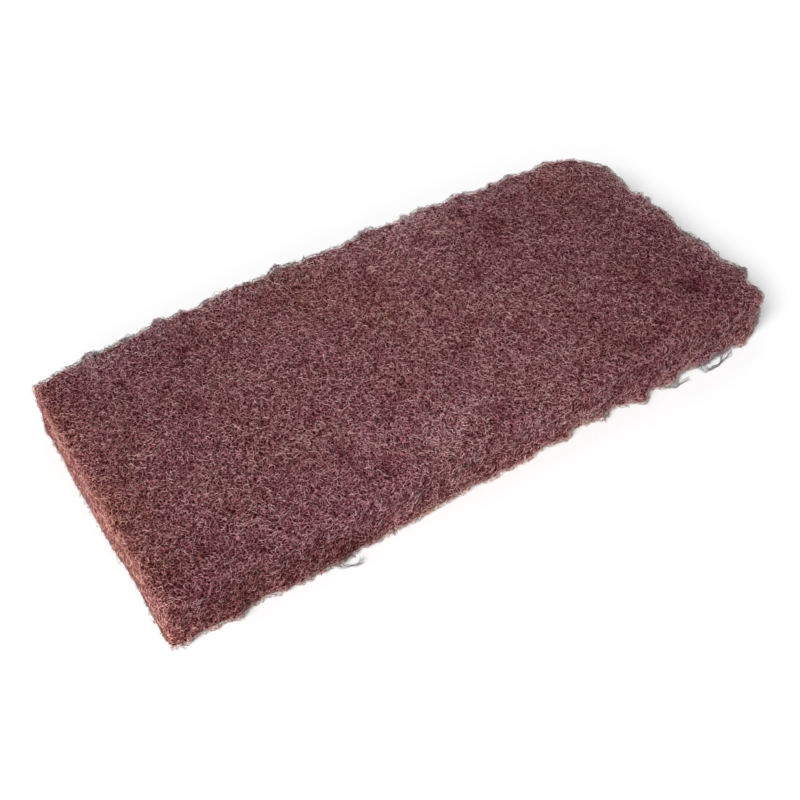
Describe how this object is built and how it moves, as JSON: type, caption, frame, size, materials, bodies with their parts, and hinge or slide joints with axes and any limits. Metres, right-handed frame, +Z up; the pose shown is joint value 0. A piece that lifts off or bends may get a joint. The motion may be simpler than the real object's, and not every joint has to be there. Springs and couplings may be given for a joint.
{
  "type": "abrasive hand pad",
  "caption": "Thick rectangular hand pad of coarse non-woven abrasive web, with one clean cut end, frayed edges and a worn rounded corner, for scouring and rubbing down.",
  "frame": {"origin": "centre of the pad's bounding box on the underside that it rests on", "axes": "+X along the length towards the end with the worn corner, +Y across the width towards the bowed edge, +Z up through the thickness"},
  "size_m": [0.2546, 0.1172, 0.0241],
  "materials": {
    "web": "matt, coarse open web of curled grit-coated fibres"
  },
  "bodies": {
    "root": {"pad": "web"}
  },
  "joints": []
}
